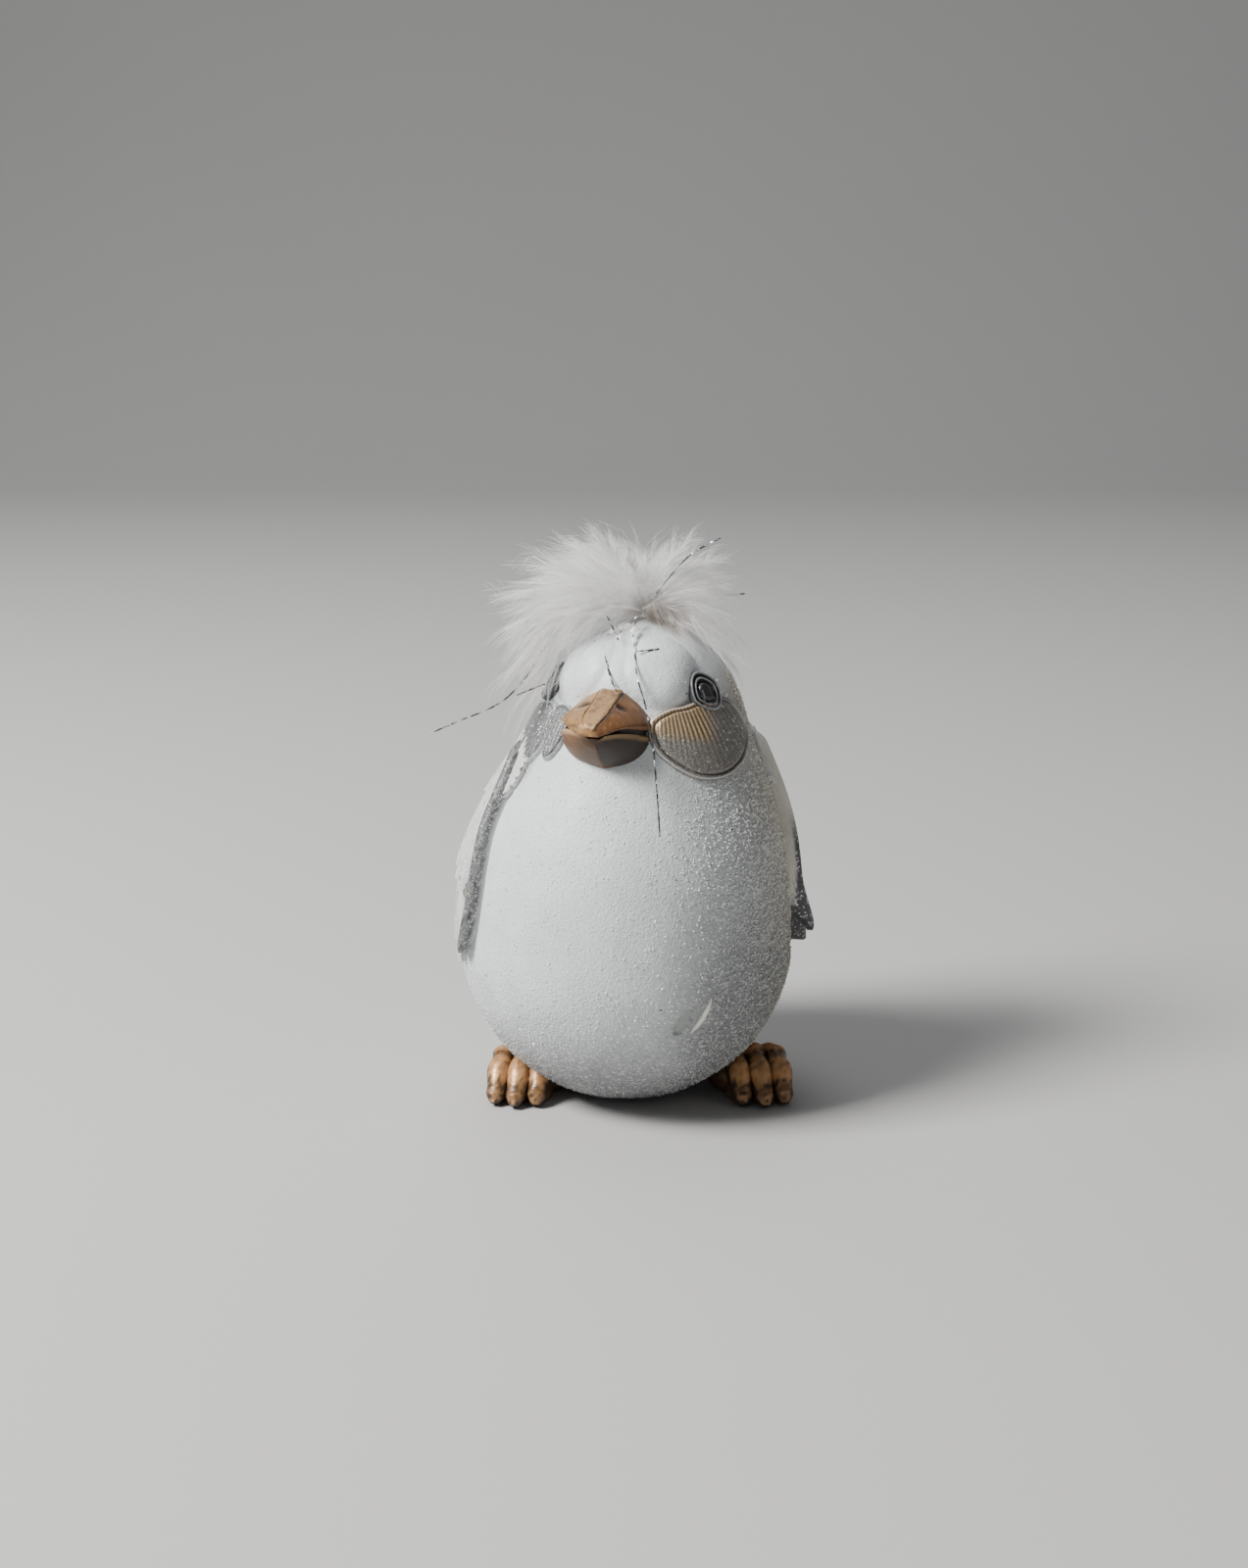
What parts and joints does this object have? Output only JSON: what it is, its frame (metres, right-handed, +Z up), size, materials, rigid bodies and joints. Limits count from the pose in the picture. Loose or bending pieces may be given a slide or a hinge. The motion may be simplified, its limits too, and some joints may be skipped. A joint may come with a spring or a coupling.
{
  "type": "bird figurine",
  "caption": "Small egg-shaped bird figurine standing on flat feet, with a stubby beak, carved wings and a loose feather crest.",
  "frame": {"origin": "centre of the flat underside of the belly, on the plane that the bird stands on", "axes": "+Z up through the crown, -Y the way the body faces, +X to the bird's own left"},
  "size_m": [0.0887, 0.086, 0.13],
  "materials": {
    "painted_resin": "cast resin with matte off-white glitter paint, bronze beak and feet",
    "down": "white marabou down, soft and matte",
    "tinsel": "silver metallised film"
  },
  "bodies": {
    "root": {"bird_figure": "painted_resin", "feather_crest": "down", "tinsel_thread_face": "tinsel", "tinsel_thread_up": "tinsel", "tinsel_thread_far_left": "tinsel", "tinsel_thread_temple": "tinsel", "tinsel_thread_forehead": "tinsel", "tinsel_thread_cross": "tinsel", "tinsel_thread_far_right": "tinsel", "tinsel_thread_glue": "tinsel"}
  },
  "joints": []
}
